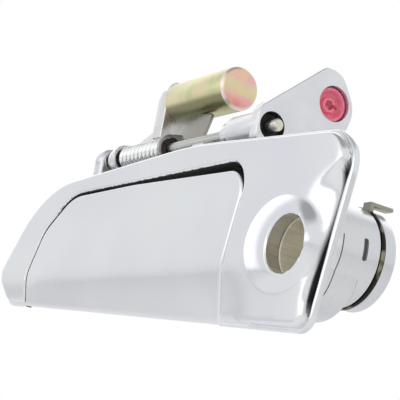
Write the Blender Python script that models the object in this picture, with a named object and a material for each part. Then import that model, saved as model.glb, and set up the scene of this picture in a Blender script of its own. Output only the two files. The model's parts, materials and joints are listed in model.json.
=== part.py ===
"""Exterior car door handle: a chrome pull paddle in a die-cast bezel, with its hinge pin, return
spring, inertia counterweight, release lever with plastic rod clip, and the empty key-lock housing.

Everything is modelled in a working frame: X runs along the handle (the lock end is +X), Y points
into the door with Y = 0 on the seat that lies against the door skin, and Z is up with Z = 0 on the
lock axis.  One empty, the datum, then lowers the whole assembly so that the world origin is on the
seat, straight above the lock axis.
"""
from math import acos, cos, pi, radians, sin, tan

import bmesh
import bpy
from mathutils import Matrix, Vector

MM = 0.001

# ---- driving dimensions (metres) ---------------------------------------------------------------
CLEARANCE = 0.3 * MM          # between neighbouring pieces
ORIGIN_ABOVE_LOCK = 30.0 * MM   # the world origin, on the seat above the lock axis

# bezel: outline corners (x, z, corner radius), anticlockwise from the lower right
BEZEL_OUTLINE = [(9.8 * MM, -26.8 * MM, 7 * MM), (22.5 * MM, 36.4 * MM, 13 * MM),
                 (-72 * MM, 42.8 * MM, 250 * MM), (-190 * MM, 37.3 * MM, 60 * MM),
                 (-221.5 * MM, -1 * MM, 7 * MM), (-209 * MM, -14.4 * MM, 8 * MM)]
FACE_Y = -6.0 * MM            # visible face of bezel and paddle
FLANGE_FRONT_Y = -2.5 * MM
FLANGE_EDGE = 0.7 * MM        # rounding of the flange's rim
FACE_INSET = 1.8 * MM         # the raised face stands back from the flange's rim
CREASE_Z = -6.5 * MM          # below this line the face leans in towards the door
CREASE_ANGLE = radians(12)

# paddle and the pocket it closes
PADDLE_OUTLINE = [(-190.2 * MM, -15.2 * MM, 1.4 * MM), (-39.5 * MM, -23.6 * MM, 0.8 * MM),
                  (-38.8 * MM, -6.5 * MM, 6 * MM), (-31.9 * MM, 28.5 * MM, 9 * MM),
                  (-110 * MM, 30.4 * MM, 150 * MM), (-159.6 * MM, 29.9 * MM, 27 * MM),
                  (-180.4 * MM, 16.5 * MM, 19 * MM), (-190.2 * MM, -1.3 * MM, 14 * MM)]
POCKET_OUTLINE = [(-191 * MM, -16 * MM, 1.8 * MM), (-38.7 * MM, -24.4 * MM, 0.8 * MM),
                  (-38.0 * MM, -6.4 * MM, 6 * MM), (-30.9 * MM, 31.9 * MM, 10 * MM),
                  (-160 * MM, 30.9 * MM, 28 * MM), (-181 * MM, 17 * MM, 20 * MM),
                  (-191 * MM, -1 * MM, 15 * MM)]
PADDLE_THICKNESS = 2.4 * MM
PADDLE_DRAFT = 1.8 * MM       # the back is this much smaller, so the edge clears the bezel
PAN_OUTLINE = [(-190.6 * MM, -9.6 * MM, 1.8 * MM), (-38.6 * MM, -18 * MM, MM),
               (-38.0 * MM, -6.4 * MM, 6 * MM), *POCKET_OUTLINE[3:]]
PAN_DEPTH_Y = 14.5 * MM       # inside of the pan's back wall
PAN_WALL = 1.7 * MM
MOUTH_X = (-150 * MM, -78 * MM)   # fingers reach in from below between these
MOUTH_TOP_Z = -9 * MM

# hinge line: the pin runs along X behind and above the bezel
HINGE_Y, HINGE_Z = 11.0 * MM, 50.0 * MM
PIN_R = 2.25 * MM
PIN_X = (-167.0 * MM, -43.0 * MM)
BUSH_BORE_R = PIN_R + CLEARANCE
BUSH_R = 3.1 * MM
BUSH_HOLE_R = BUSH_R + CLEARANCE
EAR_X = (-170.0 * MM, -163.0 * MM)
EAR_R = 5.3 * MM
REST_X = (-92.0 * MM, -84.0 * MM)
LEFT_ARM_X = (-158.0 * MM, -154.0 * MM)
RIGHT_ARM_X = (-74.0 * MM, -70.2 * MM)
LEFT_BOSS_R = 5.0 * MM
RIGHT_BOSS_R = 4.6 * MM
HUB_R = 6.3 * MM
HUB_BORE_R = 5.3 * MM
HUB_X = (-68.9 * MM, -47.0 * MM)

# return spring
SPRING_X = (-151.0 * MM, -117.4 * MM)
SPRING_WIRE_R = 0.8 * MM
SPRING_COIL_R = 3.9 * MM
SPRING_TURNS = 9.5
SPRING_STEPS = 12             # points in one turn
SPRING_LEG = 7.5 * MM

# counterweight and its bracket
SHEET = 1.6 * MM
BRACKET_EARS_X = (-153.6 * MM, -115.3 * MM)
BRACKET_EAR_R = 5.9 * MM
BRACKET_BUSH_R = 4.4 * MM
WEB_Y = 15.2 * MM             # front of the sheet behind the pin
COIL_ROOM_R = 6.0 * MM        # the web is cut back this far round the spring
WEB_END_X = -98.5 * MM
POST_Y = 13.0 * MM            # front of the bracket's post
WEIGHT_X = (-129.5 * MM, -86.3 * MM)
WEIGHT_Y, WEIGHT_Z = 20.0 * MM, 73.5 * MM
WEIGHT_R = 8.6 * MM
RIVET_R = 3.0 * MM

# release lever and rod clip
LEVER_THICKNESS = 4.6 * MM
CLIP_Y, CLIP_Z = 36.0 * MM, 66.0 * MM
CLIP_HOLE_R = 6.7 * MM

# lock housing
LOCK_BORE_R = 9.5 * MM
LOCK_BOSS_Y = -9.2 * MM
LOCK_DRUM_R = 16.3 * MM
LOCK_DRUM_CENTRE = (-1.0 * MM, 1.5 * MM)   # slightly off the bore's axis: (x, z)
LOCK_BASE_R = 17.5 * MM       # the drum's wider base on the flange
LOCK_BASE_CENTRE = (-4.0 * MM, -3.0 * MM)
LOCK_BASE_Y = 12.0 * MM
LOCK_DRUM_Y = 23.0 * MM
SLEEVE_R = 10.8 * MM
GROOVE_Y = (16.2 * MM, 18.4 * MM)
GROOVE_R = 14.5 * MM

# fixing bosses on the back of the pan: (x, z)
FIXINGS = [(-141 * MM, 4 * MM), (-56 * MM, 12 * MM)]
FIXING_R = 6.0 * MM
FIXING_HOLE_R = 2.5 * MM
FIXING_Y = 22.0 * MM
# posts for the rubber buttons, above the crease: (x, z)
BUMPER_POSTS = {"paddle_bumper_left": (-171 * MM, -3 * MM), "paddle_bumper_right": (-47 * MM, 2 * MM)}
BUMPER_R = 3.2 * MM

ARC_STEPS = 7                 # straight segments in each rounded corner
ROUND = 32                    # sides of a turned piece
SMALL_ROUND = 20              # sides of a small one

COLOURS = {                   # name: (colour, metallic, roughness)
    "chrome": ((0.82, 0.82, 0.84), 1.0, 0.12),
    "satin_zinc": ((0.72, 0.72, 0.73), 1.0, 0.35),
    "plated_steel": ((0.70, 0.69, 0.66), 1.0, 0.30),
    "yellow_zinc": ((0.74, 0.66, 0.34), 1.0, 0.32),
    "brass_liner": ((0.60, 0.55, 0.40), 1.0, 0.40),
    "spring_steel": ((0.42, 0.41, 0.36), 1.0, 0.40),
    "black_nylon": ((0.03, 0.03, 0.03), 0.0, 0.50),
    "red_plastic": ((0.80, 0.12, 0.22), 0.0, 0.35),
    "rubber": ((0.05, 0.05, 0.05), 0.0, 0.80),
}


# ---- outlines ----------------------------------------------------------------------------------
def offset_corners(corners, distance):
    """Move every edge of an anticlockwise outline outwards by distance; radii follow."""
    count = len(corners)
    points = [Vector(c[:2]) for c in corners]
    moved = []
    for i, (_, _, radius) in enumerate(corners):
        before = (points[i] - points[i - 1]).normalized()
        after = (points[(i + 1) % count] - points[i]).normalized()
        normal = Vector((before.y, -before.x)) + Vector((after.y, -after.x))
        turn = before.x * after.y - before.y * after.x
        shift = normal * (distance / (normal.dot(Vector((before.y, -before.x)))))
        grown = radius + distance if turn > 0 else radius - distance
        moved.append((points[i].x + shift.x, points[i].y + shift.y, max(grown, 0.3 * MM)))
    return moved


def rounded(corners, offset=0.0):
    """Points of an outline whose corners are arcs of ARC_STEPS segments."""
    corners = offset_corners(corners, offset)
    count = len(corners)
    outline = []
    for i, (x, y, radius) in enumerate(corners):
        corner = Vector((x, y))
        before = (corner - Vector(corners[i - 1][:2])).normalized()
        after = (Vector(corners[(i + 1) % count][:2]) - corner).normalized()
        turn = acos(max(-1.0, min(1.0, before.dot(after))))
        side = 1.0 if before.x * after.y - before.y * after.x > 0 else -1.0
        start = corner - before * radius * tan(turn / 2)
        inward = Vector((-before.y, before.x)) * side
        centre = start + inward * radius
        for step in range(ARC_STEPS + 1):
            spin = Matrix.Rotation(side * turn * step / ARC_STEPS, 2)
            outline.append(centre + spin @ (start - centre))
    return outline


# ---- solids ------------------------------------------------------------------------------------
def add_object(name, data):
    obj = bpy.data.objects.new(name, data)
    bpy.context.scene.collection.objects.link(obj)
    return obj


def mesh_object(name, bm):
    bmesh.ops.recalc_face_normals(bm, faces=bm.faces)
    mesh = bpy.data.meshes.new(name)
    bm.to_mesh(mesh)
    bm.free()
    return add_object(name, mesh)


def layered_plate(name, corners, layers):
    """Loft through copies of an outline in XZ; layers are (outward offset, y) from back to front."""
    bm = bmesh.new()
    rows = [[bm.verts.new((p.x, y, p.y)) for p in rounded(corners, offset)] for offset, y in layers]
    for low, high in zip(rows, rows[1:]):
        for i in range(len(low)):
            j = (i + 1) % len(low)
            bm.faces.new((low[i], low[j], high[j], high[i]))
    bm.faces.new(rows[0])
    bm.faces.new(rows[-1])
    return mesh_object(name, bm)


def side_plate(name, outline, x_range, holes=(), chamfer=0.0):
    """Flat piece square to X, from a filled 2D curve whose x, y are the world's Y, Z."""
    curve = bpy.data.curves.new(name, "CURVE")
    curve.dimensions = "2D"
    curve.fill_mode = "BOTH"
    curve.extrude = (x_range[1] - x_range[0]) / 2 - chamfer
    curve.bevel_depth = chamfer
    curve.bevel_resolution = 0
    curve.offset = -chamfer
    for ring in [outline, *holes]:
        spline = curve.splines.new("POLY")
        spline.points.add(len(ring) - 1)
        spline.use_cyclic_u = True
        for point, place in zip(spline.points, ring):
            point.co = (place.x, place.y, 0.0, 1.0)
    flat = add_object(name + "_outline", curve)
    flat.matrix_world = Matrix(((0, 0, 1, sum(x_range) / 2), (1, 0, 0, 0), (0, 1, 0, 0), (0, 0, 0, 1)))
    return curve_to_mesh(flat, name)


def curve_to_mesh(flat, name):
    """Freeze a curve object as a closed mesh in world coordinates."""
    bpy.context.view_layer.update()
    evaluated = flat.evaluated_get(bpy.context.evaluated_depsgraph_get())
    mesh = bpy.data.meshes.new_from_object(evaluated)
    mesh.transform(flat.matrix_world)
    bm = bmesh.new()
    bm.from_mesh(mesh)
    bmesh.ops.remove_doubles(bm, verts=bm.verts, dist=0.01 * MM)
    bpy.data.objects.remove(flat)
    return mesh_object(name, bm)


def turned(name, axis, centre, start, end, radius, end_radius=None, sides=ROUND):
    """Cylinder or cone along "X" or "Y" between start and end; centre is (other, z)."""
    bm = bmesh.new()
    bmesh.ops.create_cone(bm, cap_ends=True, segments=sides, radius1=radius,
                          radius2=radius if end_radius is None else end_radius, depth=end - start)
    middle = (start + end) / 2
    if axis == "X":
        turn, place = Matrix.Rotation(pi / 2, 4, "Y"), (middle, centre[0], centre[1])
    else:
        turn, place = Matrix.Rotation(-pi / 2, 4, "X"), (centre[0], middle, centre[1])
    bmesh.ops.transform(bm, verts=bm.verts, matrix=Matrix.Translation(place) @ turn)
    return mesh_object(name, bm)


def on_pin(name, start, end, radius, sides=ROUND):
    return turned(name, "X", (HINGE_Y, HINGE_Z), start, end, radius, sides=sides)


def block(name, low, high, tilt=0.0):
    """Box between two corners, turned by tilt about its own X axis."""
    size = [h - l for l, h in zip(low, high)]
    middle = [(h + l) / 2 for l, h in zip(low, high)]
    bm = bmesh.new()
    bmesh.ops.create_cube(bm, size=1.0)
    shape = Matrix.Translation(middle) @ Matrix.Rotation(tilt, 4, "X") @ Matrix.Diagonal((*size, 1.0))
    bmesh.ops.transform(bm, verts=bm.verts, matrix=shape)
    return mesh_object(name, bm)


def combine(base, others, operation):
    """Boolean union or difference; the other objects are used up."""
    for other in others:
        modifier = base.modifiers.new(other.name, "BOOLEAN")
        modifier.operation = operation
        modifier.object = other
    bpy.context.view_layer.update()
    evaluated = base.evaluated_get(bpy.context.evaluated_depsgraph_get())
    mesh = bpy.data.meshes.new_from_object(evaluated)
    base.modifiers.clear()
    base.data = mesh
    for other in others:
        bpy.data.objects.remove(other)
    return base


def join(base, *others):
    return combine(base, others, "UNION")


def cut(base, *cutters):
    return combine(base, cutters, "DIFFERENCE")


def lean(obj, back_y=None):
    """Fold the face in below the crease; with back_y, everything at back_y and behind stays."""
    bm = bmesh.new()
    bm.from_mesh(obj.data)
    geometry = bm.verts[:] + bm.edges[:] + bm.faces[:]
    bmesh.ops.bisect_plane(bm, geom=geometry, plane_co=(0, 0, CREASE_Z), plane_no=(0, 0, 1))
    for vert in bm.verts:
        drop = max(0.0, CREASE_Z - vert.co.z) * tan(CREASE_ANGLE)
        share = 1.0 if back_y is None else (back_y - vert.co.y) / (back_y - FACE_Y)
        vert.co.y += drop * max(0.0, share)
    bm.to_mesh(obj.data)
    bm.free()
    return obj


# ---- bezel casting -----------------------------------------------------------------------------
def make_bezel():
    flange = layered_plate("bezel", BEZEL_OUTLINE, [
        (-FLANGE_EDGE, 0.0), (0.0, -FLANGE_EDGE), (0.0, FLANGE_FRONT_Y + FLANGE_EDGE),
        (-FLANGE_EDGE, FLANGE_FRONT_Y)])
    face_back = -0.6 * MM
    face = lean(layered_plate("face", BEZEL_OUTLINE, [
        (-FACE_INSET, face_back), (-FACE_INSET, FACE_Y + 2.2 * MM),
        (-FACE_INSET - 0.7 * MM, FACE_Y + 0.8 * MM), (-FACE_INSET - 2.2 * MM, FACE_Y)]), face_back)
    pan = layered_plate("pan", PAN_OUTLINE, [
        (PAN_WALL, PAN_DEPTH_Y + PAN_WALL), (PAN_WALL, -0.5 * MM)])
    boss = turned("lock_boss", "Y", (0.0, 0.0), LOCK_BOSS_Y, FACE_Y + MM, 11.4 * MM, 14.6 * MM)
    drum = turned("lock_drum", "Y", LOCK_DRUM_CENTRE, -MM, LOCK_DRUM_Y, LOCK_DRUM_R)
    base = turned("lock_base", "Y", LOCK_BASE_CENTRE, -MM, LOCK_BASE_Y, LOCK_BASE_R)
    ear = make_ear()
    rest = make_pin_rest()
    fixings = [turned("fixing", "Y", place, PAN_DEPTH_Y + MM, FIXING_Y, FIXING_R) for place in FIXINGS]
    posts = [turned("post", "Y", place, -0.5 * MM, PAN_DEPTH_Y + MM, 2.6 * MM, sides=SMALL_ROUND)
             for place in BUMPER_POSTS.values()]
    bezel = join(flange, face, pan, boss, drum, base, ear, rest, *fixings)

    pocket = layered_plate("pocket", POCKET_OUTLINE, [(0.0, 0.6 * MM), (0.0, -15 * MM)])
    hollow = layered_plate("hollow", PAN_OUTLINE, [(-0.4 * MM, PAN_DEPTH_Y), (-0.4 * MM, -MM)])
    mouth = block("mouth", (MOUTH_X[0], -15 * MM, -40 * MM), (MOUTH_X[1], 30 * MM, MOUTH_TOP_Z))
    windows = [block("window", (low - 1.1 * MM, 0.4 * MM, 1.5 * MM), (high + 1.1 * MM, 40 * MM, 45 * MM))
               for low, high in (LEFT_ARM_X, RIGHT_ARM_X)]
    cut(bezel, pocket, hollow, mouth, *windows)
    join(bezel, *posts)

    lock_bore = turned("lock_bore", "Y", (0.0, 0.0), -20 * MM, 40 * MM, LOCK_BORE_R)
    sleeve_bore = turned("sleeve_bore", "Y", (0.0, 0.0), -4 * MM, 40 * MM, SLEEVE_R + CLEARANCE)
    groove = turned("groove", "Y", LOCK_DRUM_CENTRE, GROOVE_Y[0], GROOVE_Y[1], LOCK_DRUM_R + 3 * MM)
    cut(groove, turned("groove_floor", "Y", LOCK_DRUM_CENTRE, 0.0, 40 * MM, GROOVE_R))
    pin_hole = on_pin("pin_hole", PIN_X[0] - CLEARANCE, EAR_X[1] + MM, PIN_R + CLEARANCE)
    holes = [turned("fixing_hole", "Y", place, PAN_DEPTH_Y + PAN_WALL, 40 * MM, FIXING_HOLE_R,
                    sides=SMALL_ROUND) for place in FIXINGS]
    return cut(bezel, lock_bore, sleeve_bore, groove, pin_hole, *holes)


def make_ear():
    """Lug that carries the pin's far end, rising from the back of the upper flange."""
    foot = rounded([(-0.5 * MM, 22 * MM, MM), (10 * MM, 22 * MM, MM), (HINGE_Y + EAR_R, HINGE_Z, 0.5 * MM),
                    (HINGE_Y - EAR_R, HINGE_Z, 0.5 * MM), (HINGE_Y - EAR_R, 33 * MM, MM),
                    (-0.5 * MM, 30 * MM, MM)])
    return join(side_plate("ear", foot, EAR_X), on_pin("ear_round", *EAR_X, EAR_R))


def make_pin_rest():
    """Block on the back of the flange, stepped back at the top, that the pin's middle lies on."""
    left, right = REST_X
    rest = block("pin_rest", (left, -0.5 * MM, 30 * MM), (right, 14 * MM, HINGE_Z - PIN_R - CLEARANCE))
    return cut(rest, block("step", (left - MM, -5 * MM, 38 * MM), (right + MM, 6.5 * MM, 60 * MM)))


# ---- paddle ------------------------------------------------------------------------------------
def make_paddle():
    back_y = FACE_Y + PADDLE_THICKNESS
    paddle = lean(layered_plate("paddle", PADDLE_OUTLINE, [
        (-PADDLE_DRAFT, back_y), (0.0, FACE_Y + 0.4 * MM), (-0.4 * MM, FACE_Y)]))
    arm = [(back_y - 1.2 * MM, 4.5 * MM, MM), (22.5 * MM, 4.5 * MM, 4 * MM),
           (22.5 * MM, 36 * MM, 6 * MM), (15.2 * MM, 51.5 * MM, MM), (8 * MM, 46.5 * MM, MM),
           (17.5 * MM, 35 * MM, 5 * MM), (17.5 * MM, 10.5 * MM, 1.5 * MM),
           (back_y - 1.2 * MM, 10.5 * MM, MM)]
    left = side_plate("arm_left", rounded(arm), LEFT_ARM_X)
    right = side_plate("arm_right", rounded(arm), RIGHT_ARM_X)
    bosses = [on_pin("boss_left", *LEFT_ARM_X, LEFT_BOSS_R),
              on_pin("boss_right", *RIGHT_ARM_X, RIGHT_BOSS_R)]
    join(paddle, left, right, *bosses)
    return cut(paddle, on_pin("bush_hole", LEFT_ARM_X[0] - MM, RIGHT_ARM_X[1] + MM, BUSH_HOLE_R))


# ---- pieces on the pin -------------------------------------------------------------------------
def tube_on_pin(name, start, end, radius):
    return cut(on_pin(name, start, end, radius, SMALL_ROUND),
               on_pin("bore", start - MM, end + MM, BUSH_BORE_R, SMALL_ROUND))


def make_pin():
    pin = on_pin("hinge_pin", PIN_X[0], PIN_X[1] - 0.6 * MM, PIN_R)
    tip = turned("tip", "X", (HINGE_Y, HINGE_Z), PIN_X[1] - 1.2 * MM, PIN_X[1], PIN_R, PIN_R - 0.8 * MM)
    return join(pin, tip)


def make_e_clip():
    """Retaining washer, open on one side, that sits against the ear."""
    clip = tube_on_pin("pin_e_clip", EAR_X[1] + 0.4 * MM, EAR_X[1] + 1.4 * MM, 4.4 * MM)
    return cut(clip, block("gap", (EAR_X[1], HINGE_Y + 0.5 * MM, HINGE_Z - 1.8 * MM),
                           (EAR_X[1] + 2 * MM, HINGE_Y + 9 * MM, HINGE_Z + 1.8 * MM)))


def make_spring():
    """Torsion spring: coils round the pin, with one leg hanging in front of it and one behind."""
    points = []
    steps = int(SPRING_TURNS * SPRING_STEPS)
    pitch = (SPRING_X[1] - SPRING_X[0] - 2 * SPRING_WIRE_R) / steps
    for k in range(steps + 1):
        angle = pi - 2 * pi * k / SPRING_STEPS
        points.append(Vector((SPRING_X[0] + SPRING_WIRE_R + pitch * k,
                              HINGE_Y + SPRING_COIL_R * cos(angle),
                              HINGE_Z + SPRING_COIL_R * sin(angle))))
    drop = Vector((0.0, 0.0, -SPRING_LEG))
    points = [points[0] + drop, *points, points[-1] + drop]
    curve = bpy.data.curves.new("torsion_spring", "CURVE")
    curve.dimensions = "3D"
    curve.bevel_depth = SPRING_WIRE_R
    curve.bevel_resolution = 1
    curve.use_fill_caps = True
    spline = curve.splines.new("POLY")
    spline.points.add(len(points) - 1)
    for point, place in zip(spline.points, points):
        point.co = (*place, 1.0)
    return curve_to_mesh(add_object("spring_wire", curve), "torsion_spring")


# ---- counterweight -----------------------------------------------------------------------------
def make_bracket():
    """Folded sheet: a web behind the pin with two ears on it, and a post at the weight's far end."""
    left, right = BRACKET_EARS_X
    post_x = WEIGHT_X[0] - CLEARANCE
    web = block("counterweight_bracket", (left, WEB_Y, 52 * MM), (WEB_END_X, WEB_Y + SHEET, 64.4 * MM),
                tilt=radians(-14))
    profile = rounded([(HINGE_Y, HINGE_Z - 5.8 * MM, 3 * MM), (HINGE_Y + 6 * MM, HINGE_Z - 4 * MM, 3 * MM),
                       (WEB_Y + 3 * MM, 61 * MM, MM), (WEB_Y + 0.4 * MM, 62 * MM, MM),
                       (HINGE_Y - 3 * MM, HINGE_Z + 5 * MM, 2 * MM)])
    ears = [join(side_plate("ear", profile, span), on_pin("ear_round", *span, BRACKET_EAR_R))
            for span in ((left, left + SHEET), (right - SHEET, right))]
    post_profile = rounded([(POST_Y, 57 * MM, MM), (20 * MM, 57 * MM, MM), (29.5 * MM, 68 * MM, 4 * MM),
                            (29.5 * MM, 82.3 * MM, 8 * MM), (POST_Y, 82.3 * MM, 5 * MM)])
    post = side_plate("post", post_profile, (post_x - SHEET, post_x))
    flange = block("flange", (post_x - 7 * MM, POST_Y, 59 * MM), (post_x, POST_Y + SHEET, 78 * MM))
    foot = block("foot", (post_x - 7 * MM, POST_Y, 58 * MM), (post_x, POST_Y + 3.4 * MM, 61.5 * MM))
    bracket = join(web, *ears, post, flange, foot)
    coil_room = on_pin("coil_room", left + SHEET, right - SHEET, COIL_ROOM_R)
    holes = on_pin("bush_hole", left - MM, right + MM, BRACKET_BUSH_R + CLEARANCE)
    rivet_hole = turned("rivet_hole", "X", (WEIGHT_Y, WEIGHT_Z), post_x - 9 * MM, post_x + MM,
                        RIVET_R + CLEARANCE)
    return cut(bracket, coil_room, holes, rivet_hole)


def make_counterweight():
    """Solid bar with bevelled ends and a blind hole for its rivet."""
    start, end = WEIGHT_X
    bevel = 1.0 * MM
    centre = (WEIGHT_Y, WEIGHT_Z)
    bar = turned("counterweight", "X", centre, start + bevel, end - bevel, WEIGHT_R)
    narrow, wide = WEIGHT_R - bevel, WEIGHT_R - 0.01 * bevel
    ends = [turned("end", "X", centre, start, start + 1.5 * bevel, narrow, wide),
            turned("end", "X", centre, end - 1.5 * bevel, end, wide, narrow)]
    join(bar, *ends)
    return cut(bar, turned("rivet_hole", "X", centre, start - MM, start + 8 * MM, RIVET_R + CLEARANCE))


def make_rivet():
    plate_back = WEIGHT_X[0] - CLEARANCE - SHEET
    centre = (WEIGHT_Y, WEIGHT_Z)
    shank = turned("counterweight_rivet", "X", centre, plate_back - MM, WEIGHT_X[0] + 7.5 * MM, RIVET_R)
    head_x = plate_back - CLEARANCE
    head = turned("head", "X", centre, head_x - 2 * MM, head_x, 3.5 * MM, 5.5 * MM)
    return join(shank, head)


# ---- release lever -----------------------------------------------------------------------------
def make_lever():
    """Crank on the pin's near end: hub, arm with the clip hole, and the dog the paddle pushes."""
    start, end = HUB_X
    hub = on_pin("release_lever", start, end, HUB_R)
    arm_outline = rounded([(5.5 * MM, 43 * MM, 4 * MM), (16 * MM, 43 * MM, 4 * MM),
                           (42.5 * MM, 55 * MM, 7 * MM), (46 * MM, 66 * MM, 6 * MM),
                           (38 * MM, 78.5 * MM, 5 * MM), (30.5 * MM, 78.5 * MM, 3 * MM),
                           (4.0 * MM, 55.2 * MM, 5 * MM)])
    arm = side_plate("arm", arm_outline, (end - LEVER_THICKNESS, end), chamfer=0.5 * MM)
    web = block("web", (start, 8.5 * MM, 37 * MM), (start + 3 * MM, 12.2 * MM, 46 * MM))
    dog = block("dog", (RIGHT_ARM_X[0], 8.5 * MM, 37 * MM), (start + MM, 12.2 * MM, 40 * MM))
    join(hub, arm, web, dog)
    bore = on_pin("bore", start - MM, end + MM, HUB_BORE_R)
    clip_hole = turned("clip_hole", "X", (CLIP_Y, CLIP_Z), end - 8 * MM, end + MM, CLIP_HOLE_R)
    return cut(hub, bore, clip_hole)


def make_rod_clip():
    """Plastic swivel clip: a cup through the lever with a collar behind it and a slot for the rod."""
    centre = (CLIP_Y, CLIP_Z)
    lever_back = HUB_X[1] - LEVER_THICKNESS
    body = turned("rod_clip", "X", centre, lever_back - 5 * MM, HUB_X[1] - 0.4 * MM,
                  CLIP_HOLE_R - CLEARANCE)
    collar = turned("collar", "X", centre, lever_back - 2.3 * MM, lever_back - CLEARANCE, 8.4 * MM)
    tail = block("tail", (lever_back - 5 * MM, CLIP_Y - 12 * MM, CLIP_Z - 3.5 * MM),
                 (lever_back - 3 * MM, CLIP_Y, CLIP_Z + 1.5 * MM))
    clip = join(body, collar, tail)
    cup = turned("cup", "X", centre, lever_back + MM, HUB_X[1] + MM, 5.2 * MM)
    rod_hole = turned("rod_hole", "X", centre, lever_back - 9 * MM, lever_back + 3 * MM, 1.9 * MM,
                      sides=SMALL_ROUND)
    slot = block("slot", (lever_back - 9 * MM, CLIP_Y, CLIP_Z - 0.7 * MM),
                 (lever_back + 3 * MM, CLIP_Y + 12 * MM, CLIP_Z + 0.7 * MM))
    return cut(clip, cup, rod_hole, slot)


# ---- lock housing pieces -----------------------------------------------------------------------
def make_sleeve():
    """Stepped guide sleeve pressed into the lock housing."""
    sleeve = turned("lock_sleeve", "Y", (0.0, 0.0), -3.5 * MM, LOCK_DRUM_Y - MM, SLEEVE_R)
    front = turned("front_bore", "Y", (0.0, 0.0), -10 * MM, 9 * MM, LOCK_BORE_R)
    rear = turned("rear_bore", "Y", (0.0, 0.0), 0.0, 40 * MM, LOCK_BORE_R - 1.2 * MM)
    keyway = block("keyway", (-MM, -10 * MM, 7 * MM), (3 * MM, 40 * MM, LOCK_BORE_R + 0.5 * MM))
    return cut(sleeve, front, rear, keyway)


def make_retaining_clip():
    """Horseshoe spring clip in the housing's groove, with a bent pull tab at the top."""
    low, high = GROOVE_Y[0] + 0.4 * MM, GROOVE_Y[1] - 0.4 * MM
    centre = LOCK_DRUM_CENTRE
    clip = turned("lock_retaining_clip", "Y", centre, low, high, LOCK_DRUM_R + 0.4 * MM)
    cut(clip, turned("inside", "Y", centre, low - MM, high + MM, GROOVE_R + CLEARANCE))
    cut(clip, block("opening", (-30 * MM, low - MM, -9 * MM), (-4 * MM, high + MM, 30 * MM)))
    tab_x = (3 * MM, 7 * MM)
    foot_z, top_z = centre[1] + GROOVE_R, centre[1] + LOCK_DRUM_R + 1.6 * MM
    tab = block("tab", (tab_x[0], low, foot_z), (tab_x[1], high, top_z))
    bar = block("bar", (tab_x[0], low, top_z - 1.4 * MM), (tab_x[1], high + 8 * MM, top_z))
    return join(clip, tab, bar)


def make_bumper(name, place):
    """Rubber button on its post, which the closed paddle rests against."""
    back_y = FACE_Y + PADDLE_THICKNESS
    return turned(name, "Y", place, back_y + CLEARANCE, -0.5 * MM - CLEARANCE,
                  BUMPER_R - 0.6 * MM, BUMPER_R, sides=SMALL_ROUND)


# ---- assembly ----------------------------------------------------------------------------------
def make_material(name):
    colour, metallic, roughness = COLOURS[name]
    material = bpy.data.materials.new(name)
    material.use_nodes = True
    shader = material.node_tree.nodes["Principled BSDF"]
    shader.inputs["Base Color"].default_value = (*colour, 1.0)
    shader.inputs["Metallic"].default_value = metallic
    shader.inputs["Roughness"].default_value = roughness
    return material


def install(obj, material, origin, datum, collection):
    """Give a finished piece its material and its origin, and hang it on the datum."""
    obj.data.materials.clear()
    obj.data.materials.append(material)
    obj.data.transform(Matrix.Translation(-origin))
    obj.location = origin
    obj.parent = datum
    obj.data.shade_smooth()
    obj.data.set_sharp_from_angle(angle=radians(35))
    for old in list(obj.users_collection):
        old.objects.unlink(obj)
    collection.objects.link(obj)


def build():
    for obj in list(bpy.data.objects):
        bpy.data.objects.remove(obj)
    collection = bpy.data.collections.new("door_handle")
    bpy.context.scene.collection.children.link(collection)
    datum = bpy.data.objects.new("datum", None)
    datum.location.z = -ORIGIN_ABOVE_LOCK
    collection.objects.link(datum)

    fixed = Vector((0.0, 0.0, 0.0))
    hinge = Vector((0.0, HINGE_Y, HINGE_Z))
    swivel = Vector((HUB_X[1], CLIP_Y, CLIP_Z))
    left_ear = BRACKET_EARS_X[0], BRACKET_EARS_X[0] + SHEET
    right_ear = BRACKET_EARS_X[1] - SHEET, BRACKET_EARS_X[1]
    pieces = [
        (make_bezel(), "chrome", fixed),
        (make_sleeve(), "brass_liner", fixed),
        (make_retaining_clip(), "spring_steel", fixed),
        (make_pin(), "plated_steel", fixed),
        (make_e_clip(), "spring_steel", fixed),
        (tube_on_pin("washer_left", -159.4 * MM, -158.6 * MM, 4.4 * MM), "plated_steel", fixed),
        (tube_on_pin("washer_right", -69.9 * MM, -69.2 * MM, 4.6 * MM), "plated_steel", fixed),
        (tube_on_pin("pin_retaining_ring", -49.7 * MM, -48.9 * MM, 4.6 * MM), "spring_steel", fixed),
        (make_spring(), "spring_steel", fixed),
        (make_paddle(), "chrome", hinge),
        (tube_on_pin("paddle_bush_left", *LEFT_ARM_X, BUSH_R), "black_nylon", hinge),
        (tube_on_pin("paddle_bush_right", *RIGHT_ARM_X, BUSH_R), "black_nylon", hinge),
        (make_bracket(), "plated_steel", hinge),
        (tube_on_pin("bracket_bush_left", *left_ear, BRACKET_BUSH_R), "black_nylon", hinge),
        (tube_on_pin("bracket_bush_right", *right_ear, BRACKET_BUSH_R), "black_nylon", hinge),
        (make_counterweight(), "yellow_zinc", hinge),
        (make_rivet(), "yellow_zinc", hinge),
        (make_lever(), "satin_zinc", hinge),
        (tube_on_pin("lever_bush", HUB_X[0], -50.0 * MM, HUB_BORE_R - CLEARANCE), "black_nylon", hinge),
        (make_rod_clip(), "red_plastic", swivel),
    ]
    pieces += [(make_bumper(name, place), "rubber", fixed) for name, place in BUMPER_POSTS.items()]
    materials = {name: make_material(name) for name in COLOURS}
    for obj, material, origin in pieces:
        install(obj, materials[material], origin, datum, collection)


build()
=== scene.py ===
"""Looks for a car door handle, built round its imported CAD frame.

Shapes are modelled in millimetres in a working frame whose origin is on the lock axis at the door
seat: x runs along the handle, y points into the door, z is up.  add_piece() turns them into metres in
the row frame.
"""
import json
from math import acos, ceil, cos, hypot, pi, radians, sin, tan

import bmesh
import bpy
import numpy as np
from mathutils import Matrix, Vector, kdtree
from mathutils.geometry import delaunay_2d_cdt


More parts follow.
